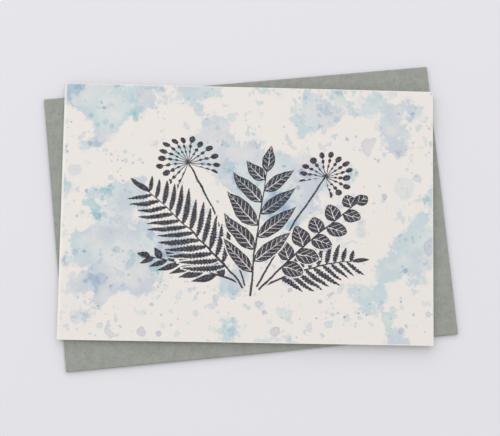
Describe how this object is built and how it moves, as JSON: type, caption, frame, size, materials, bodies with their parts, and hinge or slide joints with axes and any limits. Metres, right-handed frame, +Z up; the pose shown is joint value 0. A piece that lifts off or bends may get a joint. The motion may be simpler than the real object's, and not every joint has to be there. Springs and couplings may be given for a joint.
{
  "type": "folded greeting card on its envelope",
  "caption": "Landscape folded card, front leaf slightly ajar, lying face up across its plain pointed-flap envelope; the card opens at its left fold and the seal flap at the envelope's top edge.",
  "frame": {"origin": "under the middle of the envelope, on the surface that it lies on, which is the bottom centre of the whole object's box", "axes": "+X along the card's long edges, away from its fold; +Y along the fold, towards the envelope's flap edge; +Z up, out of the card's front"},
  "size_m": [0.1736, 0.1314, 0.0041],
  "materials": {
    "envelope_paper": "matte sage grey-green paper with a fine fleck",
    "card_stock": "matte ivory card stock with a slight tooth"
  },
  "bodies": {
    "envelope_and_card_back": {"envelope_face": "envelope_paper", "envelope_left_fold": "envelope_paper", "envelope_right_fold": "envelope_paper", "envelope_bottom_fold": "envelope_paper", "envelope_left_flap": "envelope_paper", "envelope_right_flap": "envelope_paper", "envelope_bottom_flap": "envelope_paper", "envelope_seal_crease": "envelope_paper", "card_back_leaf": "card_stock", "card_fold": "card_stock"},
    "card_front": {"card_front_leaf": "card_stock"},
    "seal_flap": {"envelope_seal_flap": "envelope_paper"}
  },
  "joints": [
    {"name": "card_opens", "type": "hinge", "parent": "envelope_and_card_back", "child": "card_front", "pos_m": [-0.0775, 0.0008, 0.0027], "axis": [0, -1, 0], "range_deg": [0, 174], "deforming": ["card_fold"]},
    {"name": "seal_flap_opens", "type": "hinge", "parent": "envelope_and_card_back", "child": "seal_flap", "pos_m": [-0.00632, 0.05579, 0.00085], "axis": [0.9937, 0.1125, 0], "range_deg": [0, 179], "deforming": ["envelope_seal_crease"]}
  ]
}
